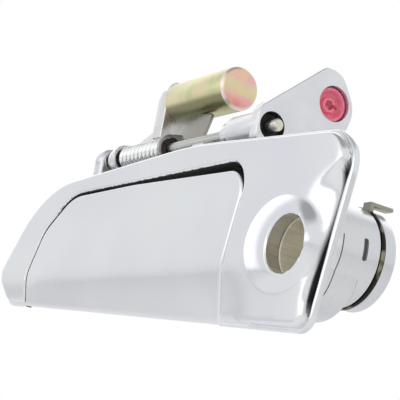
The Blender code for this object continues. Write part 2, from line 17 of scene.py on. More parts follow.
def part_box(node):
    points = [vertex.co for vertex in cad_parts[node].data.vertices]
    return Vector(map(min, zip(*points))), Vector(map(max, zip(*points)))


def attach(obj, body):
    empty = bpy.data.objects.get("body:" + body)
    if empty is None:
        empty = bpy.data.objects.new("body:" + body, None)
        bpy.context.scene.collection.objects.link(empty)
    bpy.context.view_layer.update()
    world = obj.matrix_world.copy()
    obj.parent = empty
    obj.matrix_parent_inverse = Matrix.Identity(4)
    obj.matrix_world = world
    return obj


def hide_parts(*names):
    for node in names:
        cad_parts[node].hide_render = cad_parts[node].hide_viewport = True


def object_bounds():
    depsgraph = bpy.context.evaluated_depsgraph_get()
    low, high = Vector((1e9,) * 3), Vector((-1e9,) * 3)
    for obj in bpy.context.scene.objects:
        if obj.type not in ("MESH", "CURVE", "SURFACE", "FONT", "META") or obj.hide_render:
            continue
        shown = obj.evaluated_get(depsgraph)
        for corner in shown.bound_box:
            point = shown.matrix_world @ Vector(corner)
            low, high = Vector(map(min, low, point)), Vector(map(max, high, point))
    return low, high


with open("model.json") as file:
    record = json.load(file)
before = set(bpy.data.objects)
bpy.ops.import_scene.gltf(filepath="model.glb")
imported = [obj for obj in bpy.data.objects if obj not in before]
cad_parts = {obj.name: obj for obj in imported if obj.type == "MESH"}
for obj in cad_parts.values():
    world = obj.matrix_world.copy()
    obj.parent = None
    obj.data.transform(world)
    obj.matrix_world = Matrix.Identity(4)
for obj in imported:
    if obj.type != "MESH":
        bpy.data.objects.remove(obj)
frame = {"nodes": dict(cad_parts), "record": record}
cad_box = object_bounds()

MM = 0.001
LOCK_Z = (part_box("lock_sleeve")[0].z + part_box("lock_sleeve")[1].z) / 2


def node_span(node, axis):
    """Lowest and highest coordinate of a CAD node along an axis, in the working frame."""
    low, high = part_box(node)
    shift = LOCK_Z if axis == 2 else 0.0
    return (low[axis] - shift) / MM, (high[axis] - shift) / MM


def node_centre(node, axis):
    low, high = node_span(node, axis)
    return (low + high) / 2


def node_radius(node, axis):
    low, high = node_span(node, axis)
    return (high - low) / 2


# ---- places taken from the frame ---------------------------------------------------------------
HINGE_Y, HINGE_Z = node_centre("hinge_pin", 1), node_centre("hinge_pin", 2)
PIN_R = node_radius("hinge_pin", 1)
PIN_X = node_span("hinge_pin", 0)
WEIGHT_X = node_span("counterweight", 0)
WEIGHT_Y, WEIGHT_Z = node_centre("counterweight", 1), node_centre("counterweight", 2)
WEIGHT_R = node_radius("counterweight", 2)
HUB_LENGTH = 21.9
HUB_X = node_span("release_lever", 0)[1] - HUB_LENGTH, node_span("release_lever", 0)[1]
CLIP_Y, CLIP_Z = HINGE_Y + 25.0, HINGE_Z + 16.0
SLEEVE_Y = node_span("lock_sleeve", 1)

# ---- bezel and paddle: outlines are anticlockwise corners (x, z, corner radius) ------------------
BEZEL = [(9.8, -26.8, 7), (22.5, 36.4, 13), (-72, 42.8, 250), (-190, 37.3, 60),
         (-221.5, -1, 7), (-209, -14.4, 8)]
POCKET = [(-191, -16, 1.8), (-38.7, -24.4, 0.8), (-38.0, -6.4, 6), (-30.9, 31.9, 10),
          (-160, 30.9, 28), (-181, 17, 20), (-191, -1, 15)]
PADDLE = [(-190.2, -15.2, 1.4), (-39.5, -23.6, 0.8), (-38.8, -6.5, 6), (-31.9, 28.5, 9),
          (-110, 30.4, 150), (-159.6, 29.9, 27), (-180.4, 16.5, 19), (-190.2, -1.3, 14)]
PAN = [(-190.6, -9.6, 1.8), (-38.6, -18, 1), (-38.0, -6.4, 6), *POCKET[3:]]
FACE_Y = -6.0
FLANGE_Y = -2.5
CREASE_Z = -4.5
CREASE_SLOPE = tan(radians(12))
CREASE_ROWS = -3, -1, 1, 3                      # heights of mesh rows from the crease
PADDLE_THICKNESS = 2.4
PAN_BACK_Y = 14.5
PAN_WALL = 1.7
FIXINGS = [(-141, 4), (-56, 12)]                # screw bosses behind the pan
BUMPERS = [(-171, -3), (-47, 2)]                # posts under the rubber buttons
ARMS_X = [(-158.0, -154.0), (-74.0, -70.2)]     # the paddle's hinge arms

# ---- lock: an oval boss round the bore, and the drum behind it ------------------------------------
BORE_R = 9.5
SLEEVE_R = 11.1
BOSS_X, BOSS_Z = -7.4, 1.5
BOSS_A, BOSS_B = 19.2, 15.6
BOSS_RISE = 3.2
DRUM_X, DRUM_Z, DRUM_R, DRUM_Y = -1.0, 1.5, 16.3, 23.0
GROOVE_Y = 16.2, 18.4
GROOVE_R = 14.5
BASE_X, BASE_Z, BASE_R, BASE_Y = -4.0, -3.0, 17.5, 12.0
SEAM_Y = 1.5, 1.9
SEAM_DEPTH = 0.35
NOTCH_Y, NOTCH_Z = (9.7, 11.5), (-1.6, 5.4)


# ---- outlines ----------------------------------------------------------------------------------
def offset_corners(corners, distance):
    """Move every edge of an anticlockwise outline outwards by distance; radii follow."""
    count = len(corners)
    points = [Vector(c[:2]) for c in corners]
    moved = []
    for i, (_, _, radius) in enumerate(corners):
        before = (points[i] - points[i - 1]).normalized()
        after = (points[(i + 1) % count] - points[i]).normalized()
        out = Vector((before.y, -before.x))
        normal = out + Vector((after.y, -after.x))
        turn = before.x * after.y - before.y * after.x
        corner = points[i] + normal * (distance / normal.dot(out))
        grown = radius + distance if turn > 0 else radius - distance
        moved.append((corner.x, corner.y, max(grown, 0.3)))
    return moved


def rounded(corners, offset=0.0, spacing=2.5):
    """Points of an outline with round corners; their number doesn't depend on the offset."""
    count = len(corners)
    moved = offset_corners(corners, offset)
    arcs = []
    for i in range(count):
        x, y, radius = moved[i]
        corner = Vector((x, y))
        before = (corner - Vector(moved[i - 1][:2])).normalized()
        after = (Vector(moved[(i + 1) % count][:2]) - corner).normalized()
        turn = acos(max(-1.0, min(1.0, before.dot(after))))
        side = 1.0 if before.x * after.y - before.y * after.x > 0 else -1.0
        start = corner - before * radius * tan(turn / 2)
        centre = start + Vector((-before.y, before.x)) * side * radius
        steps = max(2, ceil(turn / radians(7)), ceil(corners[i][2] * turn / spacing))
        arcs.append([centre + Matrix.Rotation(side * turn * k / steps, 2) @ (start - centre)
                     for k in range(steps + 1)])
    outline = []
    for i, arc in enumerate(arcs):
        outline += arc
        gap = (Vector(corners[(i + 1) % count][:2]) - Vector(corners[i][:2])).length
        pieces = max(1, ceil(gap / spacing))
        first, last = arc[-1], arcs[(i + 1) % count][0]
        outline += [first.lerp(last, k / pieces) for k in range(1, pieces)]
    return outline


def distance_to(points, ring):
    """Distance of each point from a closed ring; positive inside it."""
    p = np.asarray(points, float)[:, None, :]
    a = np.array([tuple(q) for q in ring])[None]
    b = np.roll(a, -1, axis=1)
    along = b - a
    share = np.clip(((p - a) * along).sum(-1) / np.maximum((along ** 2).sum(-1), 1e-12), 0, 1)
    nearest = np.sqrt((((a + share[..., None] * along) - p) ** 2).sum(-1)).min(1)
    crosses = (a[..., 1] > p[..., 1]) != (b[..., 1] > p[..., 1])
    rise = np.where(np.abs(along[..., 1]) < 1e-12, 1e-12, along[..., 1])
    hit = p[..., 0] < a[..., 0] + (p[..., 1] - a[..., 1]) * along[..., 0] / rise
    inside = (crosses & hit).sum(1) % 2 == 1
    return np.where(inside, nearest, -nearest)


def smoothstep(value, low, high):
    t = np.clip((value - low) / (high - low), 0.0, 1.0)
    return t * t * (3 - 2 * t)


def soft_ramp(value, softness):
    """Zero below zero and value above it, with a rounded knee."""
    return (value + np.sqrt(value * value + softness * softness)) / 2


def edge_roll(inside, radius):
    """Drop of a rounded edge at a distance inside it."""
    t = np.clip(1 - inside / radius, 0.0, 1.0)
    return radius * (1 - np.sqrt(1 - t * t))


# ---- mesh building -----------------------------------------------------------------------------
def new_object(name, bm):
    bmesh.ops.remove_doubles(bm, verts=bm.verts, dist=0.002)
    bmesh.ops.recalc_face_normals(bm, faces=bm.faces)
    mesh = bpy.data.meshes.new(name)
    bm.to_mesh(mesh)
    bm.free()
    obj = bpy.data.objects.new(name, mesh)
    bpy.context.scene.collection.objects.link(obj)
    return obj


def bridge(bm, low, high):
    for i in range(len(low)):
        j = (i + 1) % len(low)
        bm.faces.new((low[i], low[j], high[j], high[i]))


def fill_ring(bm, ring, inner, height):
    """Skin over a closed ring of verts, through inner (x, z) points raised to height."""
    flat = [Vector((v.co.x, v.co.z)) for v in ring] + [Vector(p) for p in inner]
    edges = [(i, (i + 1) % len(ring)) for i in range(len(ring))]
    spots, _, faces, sources, _, _ = delaunay_2d_cdt(flat, edges, [], 1, 1e-5)
    ys = height(np.array([tuple(s) for s in spots]))
    verts = []
    for spot, source, y in zip(spots, sources, ys):
        old = [k for k in source if k < len(ring)]
        verts.append(ring[old[0]] if old else bm.verts.new((spot.x, y, spot.y)))
    for face in faces:
        corners = [verts[k] for k in face]
        if len(set(corners)) == 3:
            bm.faces.new(corners)


def inner_points(ring, spacing, features=(), closest=0.2):
    """Feature points, then a grid of triangles, all inside a ring and apart from each other."""
    low = np.min([tuple(p) for p in ring], axis=0)
    high = np.max([tuple(p) for p in ring], axis=0)
    grid = [(x + (row % 2) * spacing / 2, z)
            for row, z in enumerate(np.arange(low[1], high[1], spacing * 0.87))
            for x in np.arange(low[0], high[0], spacing)]
    wanted = [(tuple(p), closest) for p in features] + [(p, spacing * 0.62) for p in grid]
    inside = distance_to([p for p, _ in wanted], ring)
    tree = kdtree.KDTree(len(wanted))
    for k, (point, _) in enumerate(wanted[:len(features)]):
        tree.insert((*point, 0.0), k)
    tree.balance()
    kept, taken = [], {}
    for k, (point, gap) in enumerate(wanted):
        if inside[k] < max(gap, 0.35):
            continue
        cell = (int(point[0] // spacing), int(point[1] // spacing))
        if k < len(features):
            near = [q for i in (-1, 0, 1) for j in (-1, 0, 1)
                    for q in taken.get((cell[0] + i, cell[1] + j), ())]
            if any(hypot(point[0] - q[0], point[1] - q[1]) < gap for q in near):
                continue
            taken.setdefault(cell, []).append(point)
        elif len(features) and tree.find((*point, 0.0))[2] < gap:
            continue
        kept.append(point)
    return kept


def layered(name, corners, layers, plane="XZ"):
    """Closed solid through copies of an outline in a plane; layers are (outward offset, depth)."""
    bm = bmesh.new()
    rows = []
    for offset, depth in layers:
        outline = rounded(corners, offset)
        rows.append([bm.verts.new((p.x, depth, p.y) if plane == "XZ" else (depth, p.x, p.y))
                     for p in outline])
    for low, high in zip(rows, rows[1:]):
        bridge(bm, low, high)
    bm.faces.new(rows[0])
    bm.faces.new(rows[-1])
    return new_object(name, bm)


def plate(name, corners, low, high, soft=0.4, plane="YZ"):
    """Flat piece between two depths whose rims are rounded by soft."""
    arc = [(soft * (sin(a) - 1), soft * (1 - cos(a))) for a in np.linspace(0, pi / 2, 4)]
    layers = [(offset, low + depth) for offset, depth in arc]
    layers += [(offset, high - depth) for offset, depth in reversed(arc)]
    return layered(name, corners, layers, plane)


def lathe(name, axis, centre, profile, sides=72):
    """Solid of revolution along "X" or "Y"; profile is (position along the axis, radius)."""
    bm = bmesh.new()
    rows = []
    for along, radius in profile:
        count = sides if radius > 0 else 1
        row = []
        for k in range(count):
            angle = 2 * pi * k / sides
            u, w = centre[0] + radius * cos(angle), centre[1] + radius * sin(angle)
            row.append(bm.verts.new((along, u, w) if axis == "X" else (u, along, w)))
        rows.append(row)
    for low, high in zip(rows, rows[1:]):
        if len(low) == 1 or len(high) == 1:
            tip, rim = (low[0], high) if len(low) == 1 else (high[0], low)
            for k in range(len(rim)):
                bm.faces.new((tip, rim[k], rim[(k + 1) % len(rim)]))
        else:
            bridge(bm, low, high)
    return new_object(name, bm)


def bar_profile(start, end, radius, soft=0.3):
    """Profile of a plain round bar whose rims are rounded by soft."""
    arc = [(soft * (1 - cos(a)), soft * (1 - sin(a))) for a in np.linspace(0, pi / 2, 4)]
    left = [(start + along, radius - drop) for along, drop in arc]
    right = [(end - along, radius - drop) for along, drop in reversed(arc)]
    return [(start, 0.0), *left, *right, (end, 0.0)]


def drill(axis, centre, start, end, radius, sides=96):
    """Plain cylinder for cutting a round hole."""
    profile = [(start, 0.0), (start, radius), (end, radius), (end, 0.0)]
    return lathe("drill", axis, centre, profile, sides)


def stub(name, centre, start, end, radius, soft, sides=72):
    """Round bar along y, square at its buried start and rounded at its end."""
    profile = [(start, 0.0), (start, radius), *bar_profile(start, end, radius, soft)[-5:]]
    return lathe(name, "Y", centre, profile, sides)


def tube_profile(start, end, radius, bore, soft=0.25):
    """Profile of a tube with rounded rims: round the wall and back through the bore."""
    wall = bar_profile(start, end, radius, soft)[1:-1]
    mouth = [(end, bore + soft), (end - soft, bore), (start + soft, bore), (start, bore + soft)]
    return [mouth[-1], *wall, *mouth]


def ring_tube(name, axis, centre, start, end, radius, bore, soft=0.25, sides=72):
    return lathe(name, axis, centre, tube_profile(start, end, radius, bore, soft), sides)


def curve_mesh(curved, name):
    """Freeze a curve object as a mesh."""
    bpy.context.view_layer.update()
    evaluated = curved.evaluated_get(bpy.context.evaluated_depsgraph_get())
    mesh = bpy.data.meshes.new_from_object(evaluated)
    mesh.transform(curved.matrix_world)
    bm = bmesh.new()
    bm.from_mesh(mesh)
    bpy.data.objects.remove(curved)
    return new_object(name, bm)


def wire(name, points, radius, resolution=3):
    """Round wire along a list of points."""
    curve = bpy.data.curves.new(name, "CURVE")
    curve.dimensions = "3D"
    curve.bevel_depth = radius
    curve.bevel_resolution = resolution
    curve.use_fill_caps = True
    spline = curve.splines.new("POLY")
    spline.points.add(len(points) - 1)
    for point, spot in zip(spline.points, points):
        point.co = (*spot, 1.0)
    curved = bpy.data.objects.new(name + "_line", curve)
    bpy.context.scene.collection.objects.link(curved)
    return curve_mesh(curved, name)


def oval(centre, radii, sides):
    return [(centre[0] + radii[0] * cos(a), centre[1] + radii[1] * sin(a))
            for a in np.linspace(0, 2 * pi, sides, endpoint=False)]


def box(name, low, high, soft=0.0, tilt=0.0):
    """Block between two corners with rounded edges, turned by tilt about its own x axis."""
    size = [h - l for l, h in zip(low, high)]
    middle = [(h + l) / 2 for l, h in zip(low, high)]
    bm = bmesh.new()
    bmesh.ops.create_cube(bm, size=1.0)
    bmesh.ops.transform(bm, verts=bm.verts, matrix=Matrix.Diagonal((*size, 1.0)))
    if soft:
        bmesh.ops.bevel(bm, geom=bm.edges[:], offset=soft, segments=3, profile=0.5, affect="EDGES")
    turn = Matrix.Translation(middle) @ Matrix.Rotation(tilt, 4, "X")
    bmesh.ops.transform(bm, verts=bm.verts, matrix=turn)
    return new_object(name, bm)


def close_cracks(mesh):
    """Weld what a boolean left a hair apart, and close the slits between."""
    bm = bmesh.new()
    bm.from_mesh(mesh)
    bmesh.ops.remove_doubles(bm, verts=bm.verts, dist=0.004)
    bmesh.ops.holes_fill(bm, edges=[e for e in bm.edges if e.is_boundary], sides=6)
    bmesh.ops.delete(bm, geom=[e for e in bm.edges if e.is_wire], context="EDGES")
    bm.to_mesh(mesh)
    bm.free()


def combine(base, others, operation):
    """Boolean union or difference; the other objects are used up."""
    for other in others:
        modifier = base.modifiers.new(other.name, "BOOLEAN")
        modifier.operation = operation
        modifier.object = other
    bpy.context.view_layer.update()
    evaluated = base.evaluated_get(bpy.context.evaluated_depsgraph_get())
    mesh = bpy.data.meshes.new_from_object(evaluated)
    close_cracks(mesh)
    base.modifiers.clear()
    base.data = mesh
    for other in others:
        bpy.data.objects.remove(other)
    return base


def join(base, *others):
    return combine(base, others, "UNION")


def cut(base, *cutters):
    return combine(base, cutters, "DIFFERENCE")


# ---- node materials ----------------------------------------------------------------------------
class Nodes:
    """Small helper that adds and links the nodes of one tree."""

    def __init__(self, tree):
        self.tree = tree
        self.coords = None

    def add(self, kind, inputs=(), **settings):
        node = self.tree.nodes.new(kind)
        for name, value in settings.items():
            setattr(node, name, value)
        for key, value in dict(inputs).items():
            if isinstance(value, bpy.types.NodeSocket):
                self.tree.links.new(value, node.inputs[key])
            else:
                node.inputs[key].default_value = value
        return node

    def math(self, operation, a, b=0.0, c=0.0):
        return self.add("ShaderNodeMath", {0: a, 1: b, 2: c}, operation=operation).outputs[0]

    def spread(self, value, low, high, to_low=0.0, to_high=1.0):
        node = self.add("ShaderNodeMapRange", {"Value": value, "From Min": low, "From Max": high,
                                               "To Min": to_low, "To Max": to_high},
                        interpolation_type="SMOOTHSTEP")
        return node.outputs[0]

    def mix(self, share, a, b):
        node = self.add("ShaderNodeMix", data_type="RGBA")
        for key, value in ((0, share), (6, a), (7, b)):
            if isinstance(value, bpy.types.NodeSocket):
                self.tree.links.new(value, node.inputs[key])
            else:
                node.inputs[key].default_value = value if key == 0 else (*value, 1.0)
        return node.outputs[2]

    def place(self, stretch=(1.0, 1.0, 1.0)):
        """Object coordinates in millimetres, stretched."""
        if self.coords is None:
            self.coords = self.add("ShaderNodeTexCoord").outputs["Object"]
        scale = [1000.0 * s for s in stretch]
        scaled = self.add("ShaderNodeVectorMath", {0: self.coords, 1: scale}, operation="MULTIPLY")
        return scaled.outputs[0]

    def coordinate(self, axis):
        """One object coordinate in millimetres."""
        return self.add("ShaderNodeSeparateXYZ", {0: self.place()}).outputs[axis]

    def normal(self, axis):
        """One component of the surface's direction in the object's frame."""
        direction = self.add("ShaderNodeTexCoord").outputs["Normal"]
        return self.add("ShaderNodeSeparateXYZ", {0: direction}).outputs[axis]

    def cloud(self, size, dark, light, window=(0.3, 0.7), **noise):
        """Two colours mixed by noise, which crosses from one to the other inside the window."""
        return self.mix(self.spread(self.noise(size, **noise), *window), dark, light)

    def gloss(self, size, smooth, rough, seed=0.0):
        """Roughness that wanders between two values."""
        return self.spread(self.noise(size, seed=seed), 0.3, 0.7, smooth, rough)

    def near(self, value, full, none):
        """One where the value is within full of zero, falling to zero at none."""
        return self.math("SUBTRACT", 1.0, self.spread(self.math("ABSOLUTE", value), full, none))

    def noise(self, size, detail=3.0, stretch=(1.0, 1.0, 1.0), seed=0.0):
        """Noise whose blotches are about size millimetres across."""
        node = self.add("ShaderNodeTexNoise", {"Vector": self.place(stretch), "Scale": 1.0 / size,
                                               "Detail": detail, "W": seed}, noise_dimensions="4D")
        return node.outputs["Fac"]

    def bump(self, height, distance, strength=1.0):
        return self.add("ShaderNodeBump", {"Height": height, "Distance": distance * MM,
                                           "Strength": strength}).outputs[0]


def new_material(name, metallic=1.0, **fixed):
    """A Principled material; fixed are its constant sockets by name with underscores for spaces."""
    material = bpy.data.materials.new(name)
    material.use_nodes = True
    nodes = Nodes(material.node_tree)
    shader = material.node_tree.nodes["Principled BSDF"]
    shader.inputs["Metallic"].default_value = metallic
    for key, value in fixed.items():
        shader.inputs[key.replace("_", " ")].default_value = value
    return material, nodes, shader


def connect(nodes, shader, color, roughness, normal=None):
    nodes.tree.links.new(color, shader.inputs["Base Color"])
    nodes.tree.links.new(roughness, shader.inputs["Roughness"])
    if normal is not None:
        nodes.tree.links.new(normal, shader.inputs["Normal"])


def metal(name, dark, light, blotch, roughness, grain=0.5, grain_depth=0.004):
    """Metal with cloudy colour, uneven gloss and a fine surface grain."""
    material, nodes, shader = new_material(name)
    color = nodes.cloud(blotch, dark, light)
    gloss = nodes.gloss(blotch * 0.4, *roughness, seed=3.0)
    bump = nodes.bump(nodes.noise(grain, 2.0), grain_depth)
    connect(nodes, shader, color, gloss, bump)
    return material


def make_chrome():
    """Bright plating; where the vertex attribute "shade" is high it carries painted shade: dark, dull and
    not metallic.
    """
    material, nodes, shader = new_material("chrome_plating")
    color = nodes.cloud(55.0, (0.77, 0.775, 0.80), (0.81, 0.82, 0.82), (0.35, 0.65), detail=2.0)
    shade = nodes.add("ShaderNodeAttribute", attribute_name="shade").outputs["Fac"]
    # Painted shade: nearly black, with more roughness and less metal, where "shade" is high.
    color = nodes.mix(shade, color, (0.012, 0.010, 0.011))
    gloss = nodes.gloss(18.0, 0.13, 0.19, seed=2.0)
    gloss = nodes.math("ADD", gloss, nodes.math("MULTIPLY", shade, 0.75))
    nodes.tree.links.new(nodes.math("SUBTRACT", 1.0, shade), shader.inputs["Metallic"])
    bump = nodes.bump(nodes.noise(2.2, 1.0), 0.003)
    connect(nodes, shader, color, gloss, bump)
    return material


def make_yellow_zinc():
    """Yellow chromate: straw and green on the round wall, with painted shade where it faces down, pink and
    salmon on the end faces.
    """
    material, nodes, shader = new_material("yellow_chromate")
    patches = nodes.noise(7.0)
    fine = nodes.noise(2.0, 4.0, seed=5.0)
    wall = nodes.mix(nodes.spread(patches, 0.38, 0.62), (0.60, 0.62, 0.34), (0.76, 0.66, 0.42))
    wall = nodes.mix(nodes.spread(fine, 0.45, 0.75, 0.0, 0.4), wall, (0.62, 0.72, 0.42))

    # Painted shade: the round wall darkens where it faces down.
    underside_painted_shade = nodes.near(nodes.math("ADD", nodes.normal("Z"), 0.70), 0.14, 0.40)
    wall = nodes.mix(nodes.math("MULTIPLY", underside_painted_shade, 0.8), wall, (0.16, 0.16, 0.07))
    rim = nodes.spread(nodes.coordinate("X"), WEIGHT_X[1] - 1.6, WEIGHT_X[1] - 1.1)
    wall = nodes.mix(rim, wall, (0.90, 0.76, 0.72))

    end = nodes.cloud(5.0, (0.88, 0.50, 0.50), (0.86, 0.60, 0.42), (0.4, 0.62), seed=8.0)
    height = nodes.math("SUBTRACT", nodes.coordinate("Z"), WEIGHT_Z + LOCK_Z / MM)
    waves = nodes.math("MULTIPLY", nodes.math("SUBTRACT", patches, 0.5), 9.0)
    band = nodes.near(nodes.math("ADD", height, waves), 0.6, 3.4)
    end = nodes.mix(nodes.math("MULTIPLY", band, 0.85), end, (0.78, 0.72, 0.40))

    on_end = nodes.spread(nodes.math("ABSOLUTE", nodes.normal("X")), 0.55, 0.9)
    color = nodes.mix(on_end, wall, end)
    gloss = nodes.spread(patches, 0.3, 0.7, 0.30, 0.38)
    connect(nodes, shader, color, gloss, nodes.bump(nodes.noise(3.0, 1.0), 0.004))
    return material


def plastic(name, dark, light, roughness, grain=0.4, grain_depth=0.004, **fixed):
    """Moulded plastic or rubber with a faint mottle and texture."""
    material, nodes, shader = new_material(name, metallic=0.0, **fixed)
    color = nodes.cloud(2.5, dark, light)
    gloss = nodes.gloss(1.2, *roughness, seed=4.0)
    connect(nodes, shader, color, gloss, nodes.bump(nodes.noise(grain), grain_depth))
    return material


def make_bracket_steel():
    """Zinc-plated sheet, bright near the spring, with painted shade, a darker yellow-tinged grey, under the
    counterweight.
    """
    material, nodes, shader = new_material("plated_sheet")
    waves = nodes.math("MULTIPLY", nodes.math("SUBTRACT", nodes.noise(9.0), 0.5), 10.0)
    # Painted shade: the sheet turns a darker, yellow-tinged grey towards the counterweight, with a wavy
    # edge.
    painted_shade_under_weight = nodes.spread(nodes.math("ADD", nodes.coordinate("X"), waves), -131.0, -112.0)
    color = nodes.mix(painted_shade_under_weight, (0.74, 0.73, 0.73), (0.36, 0.35, 0.31))
    gloss = nodes.gloss(4.0, 0.24, 0.34, seed=1.0)
    connect(nodes, shader, color, gloss, nodes.bump(nodes.noise(1.2, 1.0), 0.002))
    return material


def make_pin_steel():
    """Ground steel with a duller, cream-coloured sheared end."""
    material, nodes, shader = new_material("ground_pin")
    on_end = nodes.spread(nodes.coordinate("X"), PIN_X[1] - 0.5, PIN_X[1] - 0.2)
    shaft = nodes.cloud(6.0, (0.48, 0.49, 0.46), (0.60, 0.60, 0.57), detail=2.0, stretch=(0.3, 1, 1))
    end = nodes.cloud(1.0, (0.66, 0.62, 0.50), (0.84, 0.81, 0.70))
    gloss = nodes.gloss(3.0, 0.24, 0.34, seed=1.0)
    bump = nodes.bump(nodes.noise(0.6, 1.0, (0.2, 1, 1)), 0.002)
    connect(nodes, shader, nodes.mix(on_end, shaft, end), gloss, bump)
    return material


def make_clip_steel():
    """Spring steel: painted shade makes it nearly black round the drum, where it lies in the groove, with
    olive patches; olive grey on the tab that stands off it.
    """
    material, nodes, shader = new_material("spring_steel_groove_shade")
    on_tab = nodes.spread(nodes.coordinate("Z"), LOCK_Z / MM + 15.5, LOCK_Z / MM + 17.0)
    # Painted shade in the groove: nearly black, broken by olive patches.
    groove_painted_shade = nodes.cloud(6.0, (0.025, 0.024, 0.022), (0.30, 0.27, 0.19), (0.50, 0.62), detail=1.0, seed=2.0)
    color = nodes.mix(on_tab, groove_painted_shade, (0.36, 0.35, 0.29))
    gloss = nodes.gloss(2.0, 0.3, 0.42)
    connect(nodes, shader, color, gloss, nodes.bump(nodes.noise(0.5), 0.003))
    return material


def make_khaki():
    """Dull khaki liner with lengthwise streaks."""
    material, nodes, shader = new_material("khaki_liner", metallic=0.35)
    color = nodes.cloud(1.6, (0.66, 0.62, 0.50), (0.78, 0.74, 0.62), (0.35, 0.65), stretch=(1.0, 0.12, 1.0))
    gloss = nodes.gloss(3.0, 0.30, 0.45, seed=1.0)
    bump = nodes.bump(nodes.noise(0.7, 3.0, (1.0, 0.2, 1.0)), 0.01)
    connect(nodes, shader, color, gloss, bump)
    return material


MATERIALS = {
    "chrome": make_chrome(),
    "satin_zinc": metal("satin_casting", (0.74, 0.74, 0.75), (0.80, 0.80, 0.81), 14, (0.30, 0.40),
                        grain=0.35, grain_depth=0.008),
    "plated_steel": metal("plated_steel", (0.60, 0.59, 0.55), (0.74, 0.73, 0.70), 9, (0.22, 0.34)),
    "yellow_zinc": make_yellow_zinc(),
    "brass_liner": make_khaki(),
    "spring_steel": metal("bright_wire", (0.86, 0.86, 0.85), (0.95, 0.95, 0.94), 3, (0.2, 0.3)),
    "black_nylon": plastic("black_nylon", (0.008, 0.008, 0.009), (0.02, 0.02, 0.022), (0.35, 0.5)),
    "red_plastic": plastic("red_plastic", (0.86, 0.20, 0.30), (0.92, 0.29, 0.40), (0.28, 0.38),
                           Subsurface_Weight=0.15, Subsurface_Scale=0.002),
    "rubber": plastic("rubber", (0.010, 0.010, 0.010), (0.03, 0.03, 0.03), (0.7, 0.85),
                      grain=0.6, grain_depth=0.02),
}
CLIP_STEEL = make_clip_steel()
BRACKET_STEEL = make_bracket_steel()
PIN_STEEL = make_pin_steel()
PHOSPHATE = metal("black_phosphate", (0.015, 0.015, 0.014), (0.04, 0.038, 0.034), 2, (0.4, 0.55))


def add_piece(obj, body, slot, nodes=(), material=None, sharp=32):
    """Turn a finished shape into metres in the row frame and hang it on its CAD body."""
    obj.data.transform(Matrix.Translation((0, 0, LOCK_Z)) @ Matrix.Scale(MM, 4))
    obj.data.materials.clear()
    obj.data.materials.append(material or MATERIALS[slot])
    obj.data.shade_smooth()
    obj.data.set_sharp_from_angle(angle=radians(sharp))
    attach(obj, body)
    if nodes:
        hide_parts(*nodes)
    return obj


# ---- bezel -------------------------------------------------------------------------------------
BEZEL_RING = rounded(BEZEL)
POCKET_RING = rounded(POCKET)
PADDLE_RING = rounded(PADDLE)


def crease_drop(x, z):
    """The face folds in below the crease; the fold gets softer towards the lock."""
    softness = 3.0 + 9.0 * smoothstep(x, -38.0, -12.0)
    slope = CREASE_SLOPE * (1 - 0.75 * smoothstep(x, -34.0, -6.0))
    return slope * soft_ramp(CREASE_Z - z, softness)


def right_edge(z):
    """The outline's x at a height on its right side."""
    (x0, z0, _), (x1, z1, _) = BEZEL[0], BEZEL[1]
    return x0 + (z - z0) * (x1 - x0) / (z1 - z0)


def boss_rim(x, z):
    """Distance inside the rim of the oval lock boss."""
    return (1 - np.hypot((x - BOSS_X) / BOSS_A, (z - BOSS_Z) / BOSS_B)) * BOSS_B


def scoop(x, z):
    """The lens-shaped facet beside the lock, where the face falls away to the flange."""
    reach = np.where(z > 16.0, 10.5, 31.0)
    width = 13.7 * np.clip(1 - ((z - 16.0) / reach) ** 2, 0.0, 1.0)
    over = soft_ramp(width - (right_edge(z) - x), 1.5) - soft_ramp(-(right_edge(z) - x), 1.5)
    over = np.clip(over, 0.0, width)
    return 0.19 * over + 0.008 * over * over


def boss_share(x, z):
    """How far up the lock boss a place is: 0 at its rim and outside, 1 at the bore."""
    from_rim = soft_ramp(boss_rim(x, z), 0.5)
    from_bore = np.clip(np.hypot(x, z) - BORE_R, 0.0, None)
    share = np.clip(from_rim / (from_rim + from_bore + 0.2), 0.0, 1.0)
    return 1 - (1 - share) ** 1.9


def face_height(points):
    """The raised face's y at each (x, z) point."""
    x, z = points.T
    y = FACE_Y + crease_drop(x, z) + scoop(x, z)
    off_rim = smoothstep(distance_to(points, BEZEL_RING), 1.4, 3.5)
    y += (FACE_Y - BOSS_RISE - y) * boss_share(x, z) * off_rim
    y += edge_roll(np.clip(np.hypot(x, z) - BORE_R, 0.0, None), 0.8)
    return y + edge_roll(np.clip(-distance_to(points, POCKET_RING), 0.0, None), 0.9)


def beside_lock(x, z):
    """One along the bezel's right side, fading out towards its top and bottom corners."""
    return smoothstep(x, -4.0, 8.0) * smoothstep(z, -25.0, -17.0) * (1 - smoothstep(z, 22.0, 30.0))


